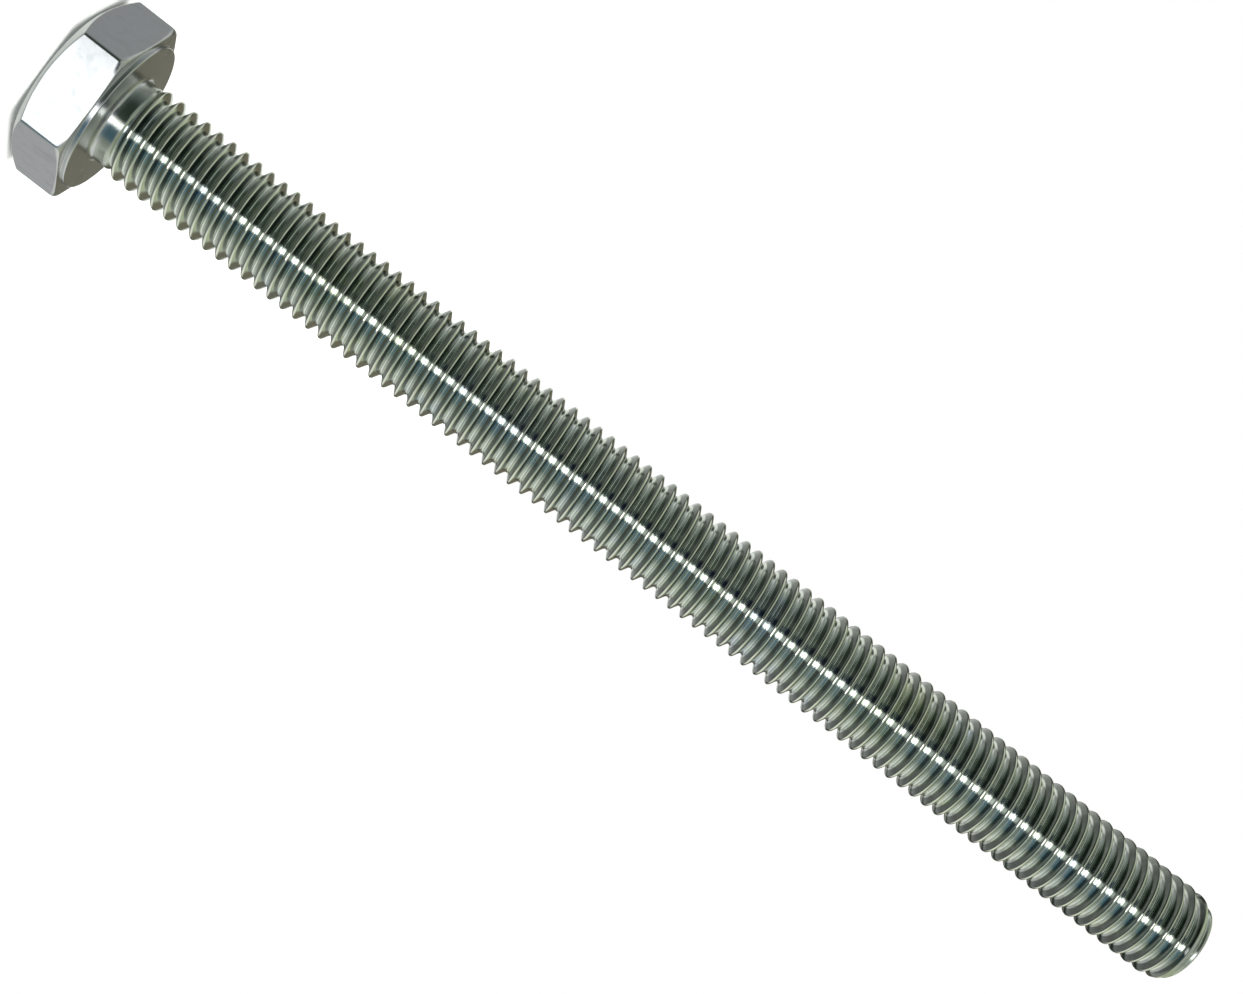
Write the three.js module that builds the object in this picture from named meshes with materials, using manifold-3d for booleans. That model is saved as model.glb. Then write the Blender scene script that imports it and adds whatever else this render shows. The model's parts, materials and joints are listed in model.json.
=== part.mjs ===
// A fully threaded M10 x 130 hex bolt: one forged and thread-rolled steel piece, zinc plated.
// It stands on the top of its head. The origin is the centre of that face and +Z runs along the
// shank to the tip. Millimetres. The flats that a spanner grips face +Y and -Y.

import * as THREE from 'three';
import { mergeVertices } from 'three/addons/utils/BufferGeometryUtils.js';
import loadManifold from 'manifold-3d';

// Driving dimensions, in millimetres unless a comment says otherwise.
const HEAD = {
  acrossFlats: 17,
  height: 6.1,
  cornerRadius: 0.4,
  topCircle: 15.5, // diameter where the top face meets its chamfer
  chamferAngle: Math.PI / 6,
};
const WASHER_FACE = { diameter: 16.2, thickness: 0.5 };
const SHANK = { length: 130, neckDiameter: 9, neckLength: 1.5, filletRadius: 0.5 };
const THREAD = { pitch: 1.5, crestDiameter: 9.85, rootDiameter: 8.2, runOut: 0.9 };
const TIP = { diameter: 6.8, roundedLength: 3 };

// Worked out from the driving dimensions.
const hexRadius = HEAD.acrossFlats / 2 / Math.cos(Math.PI / 6);
const prismHeight = HEAD.height - WASHER_FACE.thickness;
const neckTop = HEAD.height + SHANK.neckLength;
const tipHeight = HEAD.height + SHANK.length;
const crestWidth = THREAD.pitch / 8;
const rootWidth = THREAD.pitch / 4;
const flankWidth = (THREAD.pitch - crestWidth - rootWidth) / 2;

// How finely round surfaces are divided.
const THREAD_SEGMENTS = 12;
const WASHER_SEGMENTS = 48;
const CHAMFER_SEGMENTS = 60;
const CORNER_SEGMENTS = 3;
const FILLET_SEGMENTS = 3;

const OVERLAP = 1; // how far joined pieces run into each other
const WELD_GAP = 1e-4;

const { Manifold, Mesh } = await loadManifold().then((library) => {
  library.setup();
  return library;
});

// A closed solid from a three.js geometry: corners that meet are welded and empty triangles dropped.
function solidOf(geometry) {
  const bare = new THREE.BufferGeometry();
  bare.setAttribute('position', geometry.attributes.position);
  bare.setIndex(geometry.index);
  const welded = mergeVertices(bare, WELD_GAP);
  const corners = Array.from(welded.index.array);
  const kept = [];
  for (let i = 0; i < corners.length; i += 3) {
    const triangle = corners.slice(i, i + 3);
    if (new Set(triangle).size === 3) {
      kept.push(...triangle);
    }
  }
  return new Manifold(new Mesh({
    numProp: 3,
    vertProperties: new Float32Array(welded.attributes.position.array),
    triVerts: new Uint32Array(kept),
  }));
}

function geometryOf(solid) {
  const { vertProperties, triVerts } = solid.getMesh();
  const indexed = new THREE.BufferGeometry();
  indexed.setAttribute('position', new THREE.BufferAttribute(vertProperties, 3));
  indexed.setIndex(new THREE.BufferAttribute(triVerts, 1));
  const geometry = indexed.toNonIndexed();
  geometry.computeVertexNormals();
  return geometry;
}

// A lathe turned about Z from [radius, height] pairs that start and end on the axis.
function turned(profile, segments) {
  const points = profile.map(([radius, height]) => new THREE.Vector2(radius, height));
  return new THREE.LatheGeometry(points, segments).rotateX(Math.PI / 2);
}

function roundedHexagon() {
  const outline = new THREE.Shape();
  const arcCentre = hexRadius - HEAD.cornerRadius / Math.cos(Math.PI / 6);
  for (let corner = 0; corner < 6; corner += 1) {
    const angle = corner * Math.PI / 3;
    outline.absarc(
      arcCentre * Math.cos(angle),
      arcCentre * Math.sin(angle),
      HEAD.cornerRadius,
      angle - Math.PI / 6,
      angle + Math.PI / 6,
    );
  }
  outline.closePath();
  return outline;
}

// The hexagonal prism, trimmed at its top face by a 30 degree cone that leaves an arc on each flat.
function makeHexHead() {
  const prism = new THREE.ExtrudeGeometry(roundedHexagon(), {
    depth: prismHeight,
    bevelEnabled: false,
    curveSegments: CORNER_SEGMENTS,
  });
  const topRadius = HEAD.topCircle / 2;
  const outerRadius = hexRadius + OVERLAP;
  const cone = turned([
    [0, 0],
    [topRadius, 0],
    [outerRadius, (outerRadius - topRadius) * Math.tan(HEAD.chamferAngle)],
    [outerRadius, prismHeight + OVERLAP],
    [0, prismHeight + OVERLAP],
  ], CHAMFER_SEGMENTS);
  return solidOf(prism).intersect(solidOf(cone));
}

// The low round pad under the head that bears on the clamped part.
function makeWasherFace() {
  const radius = WASHER_FACE.diameter / 2;
  const height = WASHER_FACE.thickness + OVERLAP;
  const pad = new THREE.CylinderGeometry(radius, radius, height, WASHER_SEGMENTS);
  return solidOf(pad.rotateX(Math.PI / 2).translate(0, 0, HEAD.height - height / 2));
}

// The quarter circle that joins the bearing face to the neck.
function filletProfile() {
  const neckRadius = SHANK.neckDiameter / 2;
  const points = [];
  for (let step = 0; step <= FILLET_SEGMENTS; step += 1) {
    const angle = step / FILLET_SEGMENTS * Math.PI / 2;
    points.push([
      neckRadius + SHANK.filletRadius * (1 - Math.sin(angle)),
      HEAD.height + SHANK.filletRadius * (1 - Math.cos(angle)),
    ]);
  }
  return points;
}

// One tooth after another, crest, flank, root and flank, from a pitch below the neck's top to a pitch
// past the tip, so that every column of points still spans the thread once it is raised.
function toothProfile() {
  const crest = THREAD.crestDiameter / 2;
  const root = THREAD.rootDiameter / 2;
  const tooth = [
    [crest, 0],
    [crest, crestWidth],
    [root, crestWidth + flankWidth],
    [root, crestWidth + flankWidth + rootWidth],
  ];
  const points = [];
  for (let base = neckTop - THREAD.pitch; base < tipHeight + THREAD.pitch; base += THREAD.pitch) {
    points.push(...tooth.map(([radius, height]) => [radius, base + height]));
  }
  return points;
}

// The quarter ellipse that rounds the tip off, from its flat end back to the full thread.
function tipRadius(height) {
  const back = Math.min((tipHeight - height) / TIP.roundedLength, 1);
  const rounding = (THREAD.crestDiameter - TIP.diameter) / 2;
  return TIP.diameter / 2 + rounding * Math.sqrt(1 - (1 - back) ** 2);
}

// A tooth's radius at its final height: it rises out of the neck and the rounded tip cuts it off.
function trimmedRadius(radius, height) {
  const risen = THREE.MathUtils.smoothstep(height, neckTop, neckTop + THREAD.runOut);
  const grown = THREE.MathUtils.lerp(SHANK.neckDiameter / 2, radius, risen);
  return Math.min(grown, tipRadius(height));
}

// The shank is turned with plain rings for teeth, then each column of points is raised by its share
// of a turn, so that the rings join into one right-handed helix. Heights stop at the neck and tip.
function makeShank() {
  const neck = filletProfile();
  const teeth = toothProfile();
  const rootOfNeck = HEAD.height - OVERLAP;
  const profile = [
    [0, rootOfNeck],
    [neck[0][0], rootOfNeck],
    ...neck,
    ...teeth,
    [0, tipHeight],
  ];
  const firstTooth = profile.length - 1 - teeth.length;
  const geometry = turned(profile, THREAD_SEGMENTS);
  const position = geometry.attributes.position;
  for (let column = 0; column <= THREAD_SEGMENTS; column += 1) {
    const turn = column / THREAD_SEGMENTS;
    const angle = turn * 2 * Math.PI - Math.PI / 2;
    teeth.forEach(([radius, height], tooth) => {
      const raised = THREE.MathUtils.clamp(height + turn * THREAD.pitch, neckTop, tipHeight);
      const trimmed = trimmedRadius(radius, raised);
      const point = column * profile.length + firstTooth + tooth;
      position.setXYZ(point, trimmed * Math.cos(angle), trimmed * Math.sin(angle), raised);
    });
  }
  return solidOf(geometry);
}

const zincPlatedSteel = new THREE.MeshStandardMaterial({
  color: 0xb4b8ae,
  roughness: 0.3,
  metalness: 1,
});

const boltSolid = makeHexHead().add(makeWasherFace()).add(makeShank());
const bolt = new THREE.Mesh(geometryOf(boltSolid), zincPlatedSteel);
bolt.name = 'hex_bolt';

const hexBolt = new THREE.Group();
hexBolt.add(bolt);

export default hexBolt;
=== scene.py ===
# %% [markdown]
# # A long hex bolt, threaded to its head
# The CAD model holds the bolt's sizes. This lesson replaces its plain solid with one that looks like
# the real piece: a head with softened edges, a rolled thread with round roots, and bright zinc plate.
# The bolt stands on its head, so +Z runs up the shank, and everything is in metres.

# %% Load the frame
import json
import math

import bmesh
import bpy
from mathutils import Matrix, Vector, noise


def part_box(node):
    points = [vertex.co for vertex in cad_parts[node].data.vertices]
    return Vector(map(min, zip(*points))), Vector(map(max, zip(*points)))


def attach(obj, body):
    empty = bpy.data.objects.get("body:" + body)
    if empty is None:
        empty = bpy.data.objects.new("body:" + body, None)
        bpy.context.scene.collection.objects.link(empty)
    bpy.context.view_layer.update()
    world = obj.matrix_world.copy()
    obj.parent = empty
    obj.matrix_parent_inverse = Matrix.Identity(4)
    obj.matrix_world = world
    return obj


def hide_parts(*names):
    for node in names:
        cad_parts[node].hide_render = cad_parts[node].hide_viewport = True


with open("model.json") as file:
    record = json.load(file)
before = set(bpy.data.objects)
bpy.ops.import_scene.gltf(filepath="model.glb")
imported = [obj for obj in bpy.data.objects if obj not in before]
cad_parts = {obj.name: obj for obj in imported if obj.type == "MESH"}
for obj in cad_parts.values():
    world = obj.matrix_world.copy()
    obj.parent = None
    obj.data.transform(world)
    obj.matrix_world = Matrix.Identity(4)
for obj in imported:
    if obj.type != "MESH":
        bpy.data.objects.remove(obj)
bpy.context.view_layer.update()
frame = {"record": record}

# %% [markdown]
# ## Sizes
# The overall sizes and the height of the bearing face come from the frame, so the new bolt fills the
# CAD solid's space. The small sizes that give a bolt its look are named here.

# %% Sizes taken from the frame
MM = 0.001
mount_height = {mount["name"]: mount["pos_m"][2] for mount in frame["record"]["mounts"]}
solid_low, solid_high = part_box("hex_bolt")
HEAD_HEIGHT = mount_height["bearing_face"]
BOLT_LENGTH = solid_high.z
ACROSS_FLATS = solid_high.y - solid_low.y
print(f"head {HEAD_HEIGHT / MM:.1f} mm high, {ACROSS_FLATS / MM:.1f} mm across flats,", end=" ")
print(f"bolt {BOLT_LENGTH / MM:.1f} mm long")

# %% Sizes of the head
CORNER_RADIUS = 0.4 * MM
TOP_RADIUS = 7.75 * MM
CHAMFER_SLOPE = math.tan(math.radians(30))
WASHER_RADIUS = 8.1 * MM
WASHER_HEIGHT = 0.5 * MM
PRISM_HEIGHT = HEAD_HEIGHT - WASHER_HEIGHT
NECK_RADIUS = 4.5 * MM
NECK_LENGTH = 1.5 * MM
NECK_TOP = HEAD_HEIGHT + NECK_LENGTH
FILLET = 0.5 * MM
print(f"prism {PRISM_HEIGHT / MM:.1f} mm high, neck ends at {NECK_TOP / MM:.1f} mm")

# %% Sizes of the thread
PITCH = 1.5 * MM
CREST_RADIUS = 4.925 * MM
CREST_ROUND = 0.22 * MM
ROOT_ROUND = 0.24 * MM
SHARP_TOOTH = PITCH * math.cos(math.radians(30))
ROOT_RADIUS = CREST_RADIUS - (SHARP_TOOTH - CREST_ROUND - ROOT_ROUND)
RUN_OUT = 0.9 * MM
TIP_RADIUS = 3.4 * MM
TIP_ROUNDED = 3.0 * MM
END_FACE_RIM = 0.3 * MM
print(f"thread {ROOT_RADIUS / MM:.2f} mm to {CREST_RADIUS / MM:.2f} mm from the axis")

# %% [markdown]
# ## Columns of points
# A bolt is round nearly everywhere, so its mesh is built in 72 columns, one every 5 degrees. The head,
# the neck, the thread and the tip all use the same columns, and their rims weld without a seam.

# %% Columns
COLUMNS = 72
COLUMN_STEP = math.tau / COLUMNS


def column_of(point):
    """The number of the column that a point lies in."""
    return round(math.atan2(point.y, point.x) / COLUMN_STEP) % COLUMNS


def on_column(column, radius, height):
    """A point at that distance from the axis, in that column."""
    turn = column * COLUMN_STEP
    return Vector((radius * math.cos(turn), radius * math.sin(turn), height))


print(f"{COLUMNS} columns, {math.degrees(COLUMN_STEP):.0f} degrees apart")

# %% [markdown]
# ## The hexagon
# The head's outline is a hexagon with slightly rounded corners. The two columns on each side of a
# corner crowd into its arc, and the rest are spread along the flats. The corners lie on +X and every
# 60 degrees from there, so that two flats face +Y and -Y.

# %% Outline of the hexagon
SECTOR = COLUMNS // 6
CORNER_COLUMNS = 2
CORNER_DISTANCE = ACROSS_FLATS / 2 / math.cos(math.pi / 6)
ARC_DISTANCE = CORNER_DISTANCE - CORNER_RADIUS / math.cos(math.pi / 6)


def hexagon_point(column):
    """Where a column meets the head's outline, as a flat vector."""
    corner = round(column / SECTOR)
    offset = column - corner * SECTOR
    toward_corner = Matrix.Rotation(corner * math.pi / 3, 3, "Z") @ Vector((1, 0, 0))
    share = max(-1, min(1, offset / CORNER_COLUMNS))
    out = Matrix.Rotation(share * math.pi / 6, 3, "Z") @ toward_corner
    arc_point = toward_corner * ARC_DISTANCE + out * CORNER_RADIUS
    if abs(offset) <= CORNER_COLUMNS:
        return arc_point
    along = (abs(offset) - CORNER_COLUMNS) / (SECTOR / 2 - CORNER_COLUMNS)
    return arc_point.lerp(out * ACROSS_FLATS / 2, along)


print(f"across corners {2 * hexagon_point(0).length / MM:.2f} mm")

# %% [markdown]
# ## The head's outline in one column
# A forged head has no knife edges. Each column is a short path of corners from the middle of the top
# face to the neck, and every corner is replaced by a small curve, as wide as its softness says. The
# hexagon's own corners are the softest, because they are what spanners and other bolts knock against.
# The wide curve under the head is the fillet that keeps a loaded bolt from cracking there.

# %% Softness of the head's edges
TOP_EDGE = 0.12 * MM
CHAMFER_EDGE = 0.14 * MM
UNDER_EDGE = 0.13 * MM
UNDER_CORNER_SHARE = 0.4
WASHER_FOOT = 0.08 * MM
WASHER_EDGE = 0.16 * MM
EDGE_STEPS = 4
print(f"every soft edge is a curve of {EDGE_STEPS + 1} points")


# %% Path of a column over the head
def head_corners(column):
    """Pairs of point and softness, from the top face to the neck."""
    outline = hexagon_point(column)
    chamfer_depth = (outline.length - TOP_RADIUS) * CHAMFER_SLOPE
    overhang = outline.length - ACROSS_FLATS / 2
    return [
        (on_column(column, TOP_RADIUS / 2, 0), 0),
        (on_column(column, TOP_RADIUS, 0), TOP_EDGE),
        (outline + Vector((0, 0, chamfer_depth)), CHAMFER_EDGE),
        (outline + Vector((0, 0, PRISM_HEIGHT)), UNDER_EDGE + UNDER_CORNER_SHARE * overhang),
        (on_column(column, WASHER_RADIUS, PRISM_HEIGHT), WASHER_FOOT),
        (on_column(column, WASHER_RADIUS, HEAD_HEIGHT), WASHER_EDGE),
        (on_column(column, NECK_RADIUS, HEAD_HEIGHT), FILLET),
        (on_column(column, NECK_RADIUS, NECK_TOP), 0),
    ]


def softened(corners):
    """The same path with each corner turned into a curve of a few points."""
    path = [corners[0][0]]
    for before, (corner, softness), after in zip(corners, corners[1:], corners[2:]):
        start = corner + (before[0] - corner).normalized() * softness
        end = corner + (after[0] - corner).normalized() * softness
        for step in range(EDGE_STEPS + 1):
            share = step / EDGE_STEPS
            path.append(start.lerp(corner, share).lerp(corner.lerp(end, share), share))
    return path + [corners[-1][0]]


print(f"{len(softened(head_corners(0)))} points from the top face to the neck")

# %% [markdown]
# ## Growing a surface ring by ring
# Blender's extrude makes the next ring from the last one. Each new point is then set in its column.
# The same helper makes the head and the flat end of the tip.

# %% Ring by ring
def grow(shell, rim, place):
    """Extrudes the rim's edges and places each new point. Returns the new rim."""
    made = bmesh.ops.extrude_edge_only(shell, edges=rim)["geom"]
    fresh = {part for part in made if isinstance(part, bmesh.types.BMVert)}
    number = shell.verts.layers.int["column"]
    for point in fresh:
        point.co = place(point[number])
    return [part for part in made if isinstance(part, bmesh.types.BMEdge) and set(part.verts) <= fresh]


def start_disc(shell, radius, height):
    """A small filled disc with one point per column. Returns its rim."""
    number = shell.verts.layers.int["column"]
    disc = bmesh.ops.create_circle(shell, cap_ends=True, cap_tris=True, segments=COLUMNS, radius=radius)
    rim_points = {point for point in disc["verts"] if point.co.length > radius / 2}
    for point in disc["verts"]:
        point[number] = column_of(point.co)
        point.co.z = height
    for point in rim_points:
        point.co = on_column(point[number], radius, height)
    edges = {edge for point in rim_points for edge in point.link_edges}
    return [edge for edge in edges if set(edge.verts) <= rim_points]


def add_head(shell):
    """Everything from the top face to the neck."""
    paths = [softened(head_corners(column)) for column in range(COLUMNS)]
    rim = start_disc(shell, TOP_RADIUS / 4, 0)
    for ring in range(len(paths[0])):
        rim = grow(shell, rim, lambda column: paths[column][ring])
    print(f"head and neck: {len(paths[0])} rings")


# %% [markdown]
# ## One tooth of the thread
# A metric thread has flanks 60 degrees apart. Rolling leaves both its crests and its roots round, and
# each is an arc of 120 degrees that meets the flanks smoothly. This is the path over one pitch, from
# the middle of one crest to the middle of the next. Sharp corners there would catch no light.

# %% Path over one tooth
ARC_STEPS = 4


def arc(rounding, middle_radius, middle_height, bulge):
    """(radius, height) pairs over 120 degrees of a small circle. Crests bulge by 1, roots by -1."""
    points = []
    for step in range(ARC_STEPS + 1):
        lean = math.radians(120) * (step / ARC_STEPS - 0.5)
        radius = middle_radius - bulge * rounding * (1 - math.cos(lean))
        points.append((radius, middle_height + rounding * math.sin(lean)))
    return points


def tooth_path():
    """(radius, height) pairs over one pitch, which starts in the middle of a crest."""
    crest = arc(CREST_ROUND, CREST_RADIUS, 0, 1)
    root = arc(ROOT_ROUND, ROOT_RADIUS, PITCH / 2, -1)
    middle = len(crest) // 2
    next_crest = [(radius, height + PITCH) for radius, height in crest]
    return crest[middle:] + root + next_crest[:middle + 1]


print(f"tooth: {len(tooth_path())} points over {PITCH / MM:.1f} mm")

# %% [markdown]
# ## Where the thread starts and stops
# The tooth is swept further than it is needed at both ends. Points past the neck or the tip are pulled
# back onto the last height, where they weld into a plain ring. Near the neck the thread fades in, as
# the rolling dies leave it, and at the tip a quarter ellipse cuts the crests off. A real thread also
# isn't perfect: its crests rise and fall by a few hundredths of a millimetre, and carry small nicks.

# %% Trim of the thread
THREAD_END = BOLT_LENGTH - END_FACE_RIM
CREST_WAVER = 0.03 * MM
WAVER_SCALE = 450
NICK_SCALE = 1300
NICK_SHARE = 0.5


def tip_limit(height):
    """The greatest radius that the rounded tip leaves at this height."""
    back = min((BOLT_LENGTH - height) / TIP_ROUNDED, 1)
    return TIP_RADIUS + (CREST_RADIUS - TIP_RADIUS) * math.sqrt(1 - (1 - back) ** 2)


def threaded(point):
    """A swept point, moved to its column and trimmed at both ends."""
    height = max(NECK_TOP, min(THREAD_END, point.z))
    share = min((height - NECK_TOP) / RUN_OUT, 1)
    risen = share * share * (3 - 2 * share)
    radius = math.hypot(point.x, point.y)
    depth = (radius - ROOT_RADIUS) / (CREST_RADIUS - ROOT_RADIUS)
    waver = noise.noise(point * WAVER_SCALE) + NICK_SHARE * noise.noise(point * NICK_SCALE)
    wavered = radius - CREST_WAVER * depth * max(0, 0.5 + waver)
    grown = NECK_RADIUS + (wavered - NECK_RADIUS) * risen
    return on_column(column_of(point), min(grown, tip_limit(height)), height)


# %% Sweep of the thread
WELD = 0.0005 * MM


def add_thread(shell):
    """Spins one tooth round once, rising by a pitch as it goes, and stacks copies of that turn."""
    start_height = NECK_TOP - PITCH
    turns = math.ceil((THREAD_END - start_height) / PITCH) + 1
    corners = [shell.verts.new((radius, 0, start_height + height)) for radius, height in tooth_path()]
    chain = [shell.edges.new(pair) for pair in zip(corners, corners[1:])]
    bmesh.ops.spin(
        shell,
        geom=corners + chain,
        cent=(0, 0, 0),
        axis=(0, 0, 1),
        dvec=(0, 0, PITCH / COLUMNS),
        angle=math.tau,
        steps=COLUMNS,
        use_merge=False,
    )
    one_turn = shell.verts[:] + shell.edges[:] + shell.faces[:]
    for number in range(1, turns):
        copied = bmesh.ops.duplicate(shell, geom=one_turn)["geom"]
        points = [part for part in copied if isinstance(part, bmesh.types.BMVert)]
        bmesh.ops.translate(shell, verts=points, vec=(0, 0, number * PITCH))
    for point in shell.verts:
        point.co = threaded(point.co)
    bmesh.ops.remove_doubles(shell, verts=shell.verts, dist=WELD)
    bmesh.ops.dissolve_degenerate(shell, edges=shell.edges, dist=WELD)
    print(f"thread: {turns} turns of {len(chain)} strips, {len(shell.faces)} faces")


# %% [markdown]
# ## The flat end of the tip
# The last third of a millimetre has no thread left on it, so it is turned: rings follow the same
# ellipse down to the flat end face.

# %% End of the tip
def add_tip_end(shell):
    """The end face and the plain rim round it."""
    rim = start_disc(shell, TIP_RADIUS / 2, BOLT_LENGTH)
    rim = grow(shell, rim, lambda column: on_column(column, TIP_RADIUS, BOLT_LENGTH))
    for step in range(1, EDGE_STEPS + 1):
        height = BOLT_LENGTH - END_FACE_RIM * (step / EDGE_STEPS) ** 2
        rim = grow(shell, rim, lambda column: on_column(column, tip_limit(height), height))


# %% [markdown]
# ## Putting the bolt together
# The thread is swept first, because its trim walks over every point in the mesh. Head and tip join it
# where their last rings lie on the same points.

# %% The bolt's mesh
def make_bolt():
    """One closed mesh, ready to ride on the frame."""
    shell = bmesh.new()
    shell.verts.layers.int.new("column")
    add_thread(shell)
    add_head(shell)
    add_tip_end(shell)
    bmesh.ops.remove_doubles(shell, verts=shell.verts, dist=WELD)
    bmesh.ops.recalc_face_normals(shell, faces=shell.faces)
    open_edges = sum(not edge.is_manifold for edge in shell.edges)
    print(f"bolt: {len(shell.faces)} faces, {open_edges} open edges, {shell.calc_volume() / MM**3:.0f} mm3")
    mesh = bpy.data.meshes.new("plated_bolt")
    shell.to_mesh(mesh)
    shell.free()
    mesh.shade_smooth()
    bolt = bpy.data.objects.new("plated_bolt", mesh)
    bpy.context.collection.objects.link(bolt)
    evened = bolt.modifiers.new("even_shading", "WEIGHTED_NORMAL")
    evened.mode = "FACE_AREA"
    return bolt


bolt = make_bolt()
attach(bolt, "root")
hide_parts("hex_bolt")

# %% [markdown]
# ## Writing shaders as sums
# A shader is a graph of nodes, and its maths is easier to read as Python. `Wire` wraps the output of a
# node: adding or multiplying wires adds Math nodes, and `node` makes any other node from its type, its
# settings and what goes into its sockets.

# %% Wires
class Wire:
    """The output of a shader node, with arithmetic."""

    def __init__(self, tree, socket=None):
        self.tree = tree
        self.socket = socket

    def node(self, kind, settings=None, sockets=None, output=0):
        """Adds a node to the same tree and returns one of its outputs."""
        made = self.tree.nodes.new(kind)
        for name, value in (settings or {}).items():
            if name == "stops":
                set_stops(made.color_ramp, value)
            else:
                setattr(made, name, value)
        for name, value in (sockets or {}).items():
            if isinstance(value, Wire):
                self.tree.links.new(value.socket, made.inputs[name])
            else:
                made.inputs[name].default_value = value
        return Wire(self.tree, made.outputs[output] if made.outputs else None)

    def maths(self, operation, first, second=0.0):
        return self.node("ShaderNodeMath", {"operation": operation}, {0: first, 1: second})

    def __add__(self, other):
        return self.maths("ADD", self, other)

    def __radd__(self, other):
        return self.maths("ADD", other, self)

    def __sub__(self, other):
        return self.maths("SUBTRACT", self, other)

    def __rsub__(self, other):
        return self.maths("SUBTRACT", other, self)

    def __mul__(self, other):
        return self.maths("MULTIPLY", self, other)

    def __rmul__(self, other):
        return self.maths("MULTIPLY", other, self)

    def __abs__(self):
        return self.maths("ABSOLUTE", self)

    def step(self, start, end):
        """0 before start and 1 after end, with a smooth rise between."""
        limits = {"Value": self, "From Min": start, "From Max": end}
        return self.node("ShaderNodeMapRange", {"interpolation_type": "SMOOTHSTEP"}, limits)

    def blend(self, first, second):
        """The first colour where this wire is 0, the second where it is 1."""
        return self.node("ShaderNodeMix", {"data_type": "RGBA"}, {0: self, 6: first, 7: second}, 2)


def set_stops(ramp, stops):
    """Gives a colour ramp these (position, colour) stops."""
    while len(ramp.elements) > 1:
        ramp.elements.remove(ramp.elements[-1])
    ramp.elements[0].position, ramp.elements[0].color = stops[0]
    for position, colour in stops[1:]:
        ramp.elements.new(position).color = colour


def grey(level):
    return (level, level, level, 1)


# %% [markdown]
# ## Bright zinc plate
# Zinc plate is a thin, slightly cloudy mirror. Its passivation adds a breath of blue in some places and
# of yellow-green in others. Crests are rubbed bright where they touch other bolts in the box. A dark
# line of painted shade winds round with the thread, on the outer half of the flank that faces the head.
# It stands for the shade deep in the groove, not for the finish, and is made for its effect: without it
# two flanks that face each other mirror a light back and forth, and its bright patches run together.
# Everything is worked out from the point's own place.

# %% Colours of the zinc
# Lit and shaded copies of one plate: the thread's zinc is set lighter than the head's, so that the thread's
# mirrored lights come out brighter while the head's near flat stays just short of plain white.
HEAD_ZINC_SHADED = (0.62, 0.63, 0.645, 1)
THREAD_ZINC_LIT = (0.72, 0.76, 0.70, 1)
BLUE_ZINC = (0.62, 0.68, 0.72, 1)
GREEN_ZINC = (0.70, 0.74, 0.58, 1)
DULL_ZINC = (0.44, 0.46, 0.43, 1)
# Painted shade: the dark of the winding line on the flank that faces the head.
PAINTED_SHADE_ZINC = (0.15, 0.165, 0.15, 1)
# Painted shade: the neck just under the head is darkened as if it lay in the head's shade.
NECK_PAINTED_SHADE = (0.26, 0.28, 0.23, 1)
RUBBED_ZINC = (0.78, 0.80, 0.68, 1)
HEAD_ROUGHNESS = 0.24
THREAD_ROUGHNESS = 0.13
print("eight tones of zinc, roughness", THREAD_ROUGHNESS, "on the thread and", HEAD_ROUGHNESS, "on the head")


# %% Masks that say where on the bolt a point is
def bolt_masks(shader, place):
    """Wires that are 1 on the shank, the neck, the crests, the winding line of painted shade and the tip,
    else 0.
    """
    parts = shader.node("ShaderNodeSeparateXYZ", sockets={"Vector": place})
    across, deep, height = (Wire(shader.tree, parts.socket.node.outputs[axis]) for axis in "XYZ")
    flat = shader.node("ShaderNodeVectorMath", {"operation": "MULTIPLY"}, {0: place, 1: (1, 1, 0)})
    radius = shader.node("ShaderNodeVectorMath", {"operation": "LENGTH"}, {0: flat}, "Value")
    turn = shader.maths("ARCTAN2", deep, across) * (1 / math.tau)
    phase = shader.maths("FRACT", (height - NECK_TOP) * (1 / PITCH) - turn)
    on_shank = height.step(HEAD_HEIGHT + 0.2 * MM, HEAD_HEIGHT + 0.9 * MM)
    on_thread = height.step(NECK_TOP, NECK_TOP + RUN_OUT)
    on_end_face = height.step(THREAD_END - 0.4 * MM, THREAD_END)
    neck = on_shank * (1 - on_thread)
    crest = radius.step(CREST_RADIUS - 0.14 * MM, CREST_RADIUS - 0.03 * MM) * on_shank
    # The winding line of painted shade, on the outer half of the flank that faces the head.
    painted_shade = phase.step(0.66, 0.72) * (1 - phase.step(0.94, 0.99)) * on_thread * (1 - on_end_face)
    tip = height.step(BOLT_LENGTH - 1.7 * MM, BOLT_LENGTH - 0.7 * MM)
    return on_shank, neck, crest, painted_shade, tip


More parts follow.
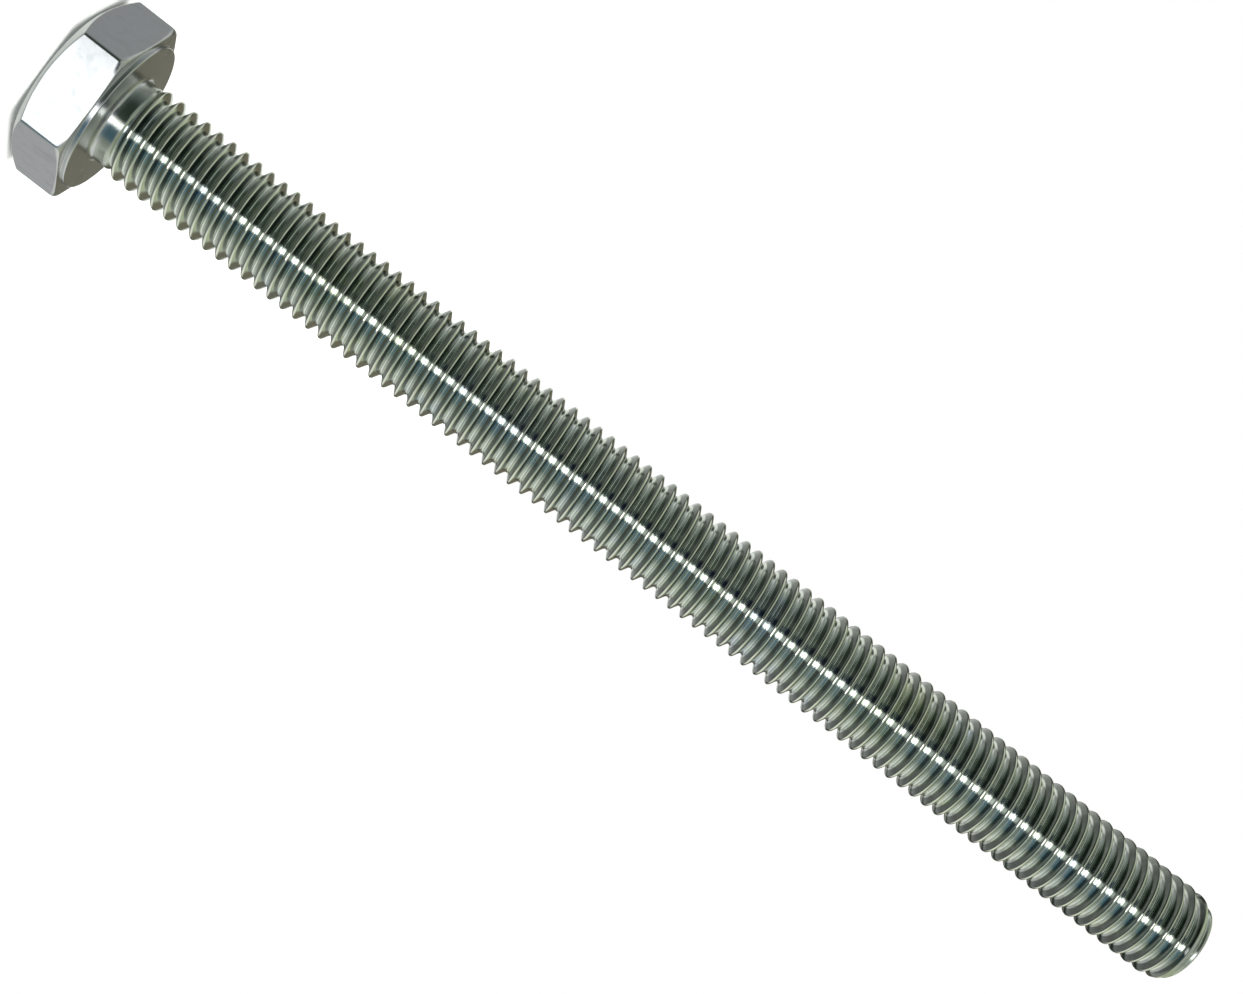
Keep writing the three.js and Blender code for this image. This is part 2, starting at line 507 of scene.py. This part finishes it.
# %% Zinc plate
def zinc_plate():
    """The one finish that covers the whole bolt."""
    material = bpy.data.materials.new("bright_zinc_plate")
    material.use_nodes = True
    material.node_tree.nodes.clear()
    shader = Wire(material.node_tree)
    place = shader.node("ShaderNodeTexCoord", output="Object")
    on_shank, neck, crest, painted_shade, tip = bolt_masks(shader, place)
    on_head = 1 - on_shank

    def cloud(scale, detail, roughness=0.6, where=place):
        sockets = {"Vector": where, "Scale": scale, "Detail": detail, "Roughness": roughness}
        return shader.node("ShaderNodeTexNoise", sockets=sockets)

    tint = cloud(160, 3)
    mottle = cloud(900, 5)
    grain = cloud(5200, 3)
    drawn_out = shader.node("ShaderNodeVectorMath", {"operation": "MULTIPLY"}, {0: place, 1: (1, 1, 0.35)})
    scuffs = cloud(700, 5, 0.5, drawn_out)
    # The head takes the darker, shaded copy of the zinc and the shank the lighter, lit copy.
    colour = on_shank.blend(HEAD_ZINC_SHADED, THREAD_ZINC_LIT)
    colour = (tint.step(0.48, 0.3) * on_shank).blend(colour, BLUE_ZINC)
    colour = (tint.step(0.54, 0.72) * on_shank).blend(colour, GREEN_ZINC)
    colour = (mottle.step(0.45, 0.75) * 0.3).blend(colour, DULL_ZINC)
    colour = (scuffs.step(0.5, 0.85) * on_head * 0.6).blend(colour, DULL_ZINC)
    # Painted shade on the neck under the head.
    colour = (neck * 0.6).blend(colour, NECK_PAINTED_SHADE)
    # Painted shade along the winding line, with the rubbed crests kept off it.
    colour = (painted_shade * (0.75 + mottle * 0.5)).blend(colour, PAINTED_SHADE_ZINC)
    colour = (crest * (1 - painted_shade) * 0.8).blend(colour, RUBBED_ZINC)
    colour = (tip * mottle.step(0.35, 0.65) * 0.7).blend(colour, DULL_ZINC)
    roughness = HEAD_ROUGHNESS + on_shank * (THREAD_ROUGHNESS - HEAD_ROUGHNESS)
    roughness = roughness + (mottle - 0.5) * 0.16 + neck * 0.06 + tip * 0.12
    relief = mottle * 0.6 + grain * 0.4
    bump = shader.node("ShaderNodeBump", sockets={"Height": relief, "Strength": 0.3, "Distance": 0.012 * MM})
    surface = {"Base Color": colour, "Roughness": roughness, "Metallic": 1.0, "Normal": bump}
    plate = shader.node("ShaderNodeBsdfPrincipled", sockets=surface)
    shader.node("ShaderNodeOutputMaterial", sockets={"Surface": plate})
    return material


bolt.data.materials.append(zinc_plate())
print("finish:", bolt.data.materials[0].name)

# %% [markdown]
# ## The camera
# The camera stands a hand's width from the bolt, level with the lower shank, and is rolled over so that
# the bolt runs down to the right across the view. From there the underside of the head shows at one
# end and the rounded tip at the other.

# %% Camera
CAMERA_REACH = 0.1849
CAMERA_SIDESTEP = -0.0008
CAMERA_HEIGHT = 0.05127
AIM_HEIGHT = 0.06497
CAMERA_TURN = math.radians(-4.76)
BOLT_SLANT = math.radians(37.82)
LENS = 56.05
SENSOR_WIDTH = 36.0

toward_camera = Matrix.Rotation(CAMERA_TURN, 3, "Z") @ Vector((0, -1, 0))
beside_camera = Vector((0, 0, 1)).cross(toward_camera)
camera_place = toward_camera * CAMERA_REACH + beside_camera * CAMERA_SIDESTEP
camera_place.z = CAMERA_HEIGHT
aim = beside_camera * CAMERA_SIDESTEP + Vector((0, 0, AIM_HEIGHT))
forward = (aim - camera_place).normalized()
along_bolt = (Vector((0, 0, 1)) - forward * forward.z).normalized()
across_bolt = forward.cross(along_bolt)
right = along_bolt * math.cos(BOLT_SLANT) - across_bolt * math.sin(BOLT_SLANT)
down = along_bolt * math.sin(BOLT_SLANT) + across_bolt * math.cos(BOLT_SLANT)

camera = bpy.data.objects.new("camera", bpy.data.cameras.new("camera"))
bpy.context.collection.objects.link(camera)
camera.data.lens = LENS
camera.data.sensor_width = SENSOR_WIDTH
camera.data.clip_start = 0.01
camera.data.clip_end = 20
turned = Matrix((right, -down, -forward)).transposed()
camera.matrix_world = Matrix.Translation(camera_place) @ turned.to_4x4()
bpy.context.scene.camera = camera
print("camera at", tuple(round(value, 4) for value in camera_place))

# %% [markdown]
# ## Floor and backdrop
# The bolt stands on a plain white floor inside a white dome. The camera sees both, but the zinc doesn't
# mirror them: what it mirrors is the studio of the next step, whose tones can then be chosen freely.

# %% Floor and backdrop
def plain_material(name, colour, glow):
    material = bpy.data.materials.new(name)
    material.use_nodes = True
    material.node_tree.nodes.clear()
    shader = Wire(material.node_tree)
    if glow:
        look = shader.node("ShaderNodeEmission", sockets={"Color": colour, "Strength": glow})
    else:
        look = shader.node("ShaderNodeBsdfDiffuse", sockets={"Color": colour})
    shader.node("ShaderNodeOutputMaterial", sockets={"Surface": look})
    return material


def stage_piece(name, shell, material):
    mesh = bpy.data.meshes.new(name)
    shell.to_mesh(mesh)
    shell.free()
    mesh.materials.append(material)
    piece = bpy.data.objects.new(name, mesh)
    bpy.context.collection.objects.link(piece)
    piece.visible_glossy = False
    return piece


FLOOR_SIZE = 3.0
DOME_RADIUS = 6.0
floor_shell = bmesh.new()
bmesh.ops.create_grid(floor_shell, x_segments=1, y_segments=1, size=FLOOR_SIZE)
floor = stage_piece("floor", floor_shell, plain_material("floor_white", grey(0.9), 0))
dome_shell = bmesh.new()
bmesh.ops.create_uvsphere(dome_shell, u_segments=48, v_segments=24, radius=DOME_RADIUS)
dome = stage_piece("backdrop", dome_shell, plain_material("backdrop_white", grey(1.0), 1.0))
dome.visible_diffuse = False
dome.visible_shadow = False
print("stage:", floor.name, "and", dome.name)

# %% [markdown]
# ## The studio
# A shiny bolt shows its surroundings, so they are painted once, as a ring of soft tones round it: pale
# cards on both sides, a dark gap beside the camera, a bluish shade next to the main light, and two
# narrow dark cards behind. Above and below, the ring gives way to pale grey and green-grey.

# %% Surroundings
DARK_GREEN = (0.040, 0.058, 0.045, 1)
MOSS = (0.22, 0.27, 0.24, 1)
SKY_CARD = (0.09, 0.18, 0.25, 1)
NAVY = (0.02, 0.03, 0.10, 1)
PALE = (0.86, 0.89, 0.84, 1)
OLIVE = (0.17, 0.16, 0.12, 1)
GREY_CARD = (0.42, 0.45, 0.42, 1)
GREEN_CARD = (0.48, 0.53, 0.38, 1)
CEILING = (0.40, 0.42, 0.40, 1)
FLOOR_GLOW = (0.66, 0.70, 0.64, 1)
UPPER_CARD = (0.33, 0.34, 0.345, 1)
LOWER_CARD = (0.48, 0.49, 0.49, 1)


def ring_stops(tones):
    """Ramp stops from pairs of a direction round the bolt, in degrees from the camera, and a colour."""
    return [(degrees / 360 + 0.5, colour) for degrees, colour in tones]


def surroundings():
    """The world, which is what the zinc mirrors."""
    world = bpy.data.worlds.new("studio")
    bpy.context.scene.world = world
    world.use_nodes = True
    world.node_tree.nodes.clear()
    shader = Wire(world.node_tree)
    direction = shader.node("ShaderNodeTexCoord", output="Generated")

    def part_along(axis):
        settings = {"operation": "DOT_PRODUCT"}
        return shader.node("ShaderNodeVectorMath", settings, {0: direction, 1: axis}, "Value")

    turn = shader.maths("ARCTAN2", part_along(beside_camera), part_along(toward_camera))
    ring_place = turn * (1 / math.tau) + 0.5
    rise = part_along((0, 0, 1))
    thread_tones = [
        (-180, PALE), (-155, PALE), (-143, DARK_GREEN), (-128, DARK_GREEN), (-116, PALE), (-100, GREY_CARD),
        (-80, MOSS), (-48, DARK_GREEN), (0, DARK_GREEN), (24, SKY_CARD), (54, SKY_CARD), (68, GREY_CARD),
        (88, PALE), (140, PALE), (150, DARK_GREEN), (162, DARK_GREEN), (172, PALE), (180, PALE),
    ]
    head_tones = [
        (-180, PALE), (-140, PALE), (-120, UPPER_CARD), (-90, UPPER_CARD), (-50, DARK_GREEN),
        (0, DARK_GREEN), (30, SKY_CARD), (60, MOSS), (110, LOWER_CARD), (145, LOWER_CARD), (180, PALE),
    ]
    tip_tones = [
        (-180, PALE), (-155, PALE), (-143, DARK_GREEN), (-128, DARK_GREEN), (-116, PALE),
        (-90, GREY_CARD), (-22, GREY_CARD), (-14, NAVY), (22, NAVY), (29, GREY_CARD), (55, GREY_CARD),
        (100, PALE), (140, PALE), (150, DARK_GREEN), (162, DARK_GREEN), (172, PALE), (180, PALE),
    ]

    def ring(tones):
        return shader.node("ShaderNodeValToRGB", {"stops": ring_stops(tones)}, {"Fac": ring_place})

    colour = rise.step(-0.2, -0.08).blend(ring(head_tones), ring(thread_tones))
    colour = rise.step(0.12, 0.34).blend(colour, ring(tip_tones))
    behind = abs(turn).step(math.radians(125), math.radians(150))
    behind = behind * rise.step(0.05, 0.15) * rise.step(0.75, 0.5)
    colour = behind.blend(colour, OLIVE)
    colour = rise.step(0.48, 0.6).blend(colour, GREEN_CARD)
    colour = rise.step(0.78, 0.88).blend(colour, CEILING)
    colour = rise.step(-0.5, -0.85).blend(colour, FLOOR_GLOW)
    background = shader.node("ShaderNodeBackground", sockets={"Color": colour, "Strength": 1.0})
    shader.node("ShaderNodeOutputWorld", sockets={"Surface": background})
    return world


print("world:", surroundings().name)

# %% [markdown]
# ## The lights
# Two tall soft boxes stand one above the other, a little to the side of the camera. Each turn of the
# thread mirrors them as short bright patches, and the patches of all the turns line up in a row. The
# lower box is below the floor, which the zinc doesn't mirror, and it brightens the head's near flat. A
# very soft sun whitens the floor evenly without showing in the zinc.

# %% Lights
KEY_TURN = math.radians(13.5)
KEY_DISTANCE = 0.7
FLOOR_LIGHT_POWER = 4.4
FLOOR_LIGHT_ANGLE = math.radians(100)


def soft_light(name, height, size, power):
    """A rectangular soft box, a little to one side of the camera, that faces the bolt's axis."""
    light = bpy.data.objects.new(name, bpy.data.lights.new(name, "AREA"))
    bpy.context.collection.objects.link(light)
    light.data.shape = "RECTANGLE"
    light.data.size, light.data.size_y = size
    light.data.energy = power
    out = Matrix.Rotation(KEY_TURN, 3, "Z") @ toward_camera
    light.location = out * KEY_DISTANCE + Vector((0, 0, height))
    light.rotation_mode = "QUATERNION"
    light.rotation_quaternion = (-out).to_track_quat("-Z", "Y")
    light.visible_camera = False
    return light


soft_light("key_at_head", -0.25, (0.19, 0.32), 0.50)
soft_light("key_at_thread", 0.22, (0.19, 0.62), 1.15)
floor_light = bpy.data.objects.new("floor_light", bpy.data.lights.new("floor_light", "SUN"))
bpy.context.collection.objects.link(floor_light)
floor_light.data.energy = FLOOR_LIGHT_POWER
floor_light.data.angle = FLOOR_LIGHT_ANGLE
floor_light.visible_glossy = False

# %% [markdown]
# ## Colour management
# The Standard view shows colours as they are set, so that white stays white.

# %% Colour management
bpy.context.scene.view_settings.view_transform = "Standard"
print("view:", bpy.context.scene.view_settings.view_transform)
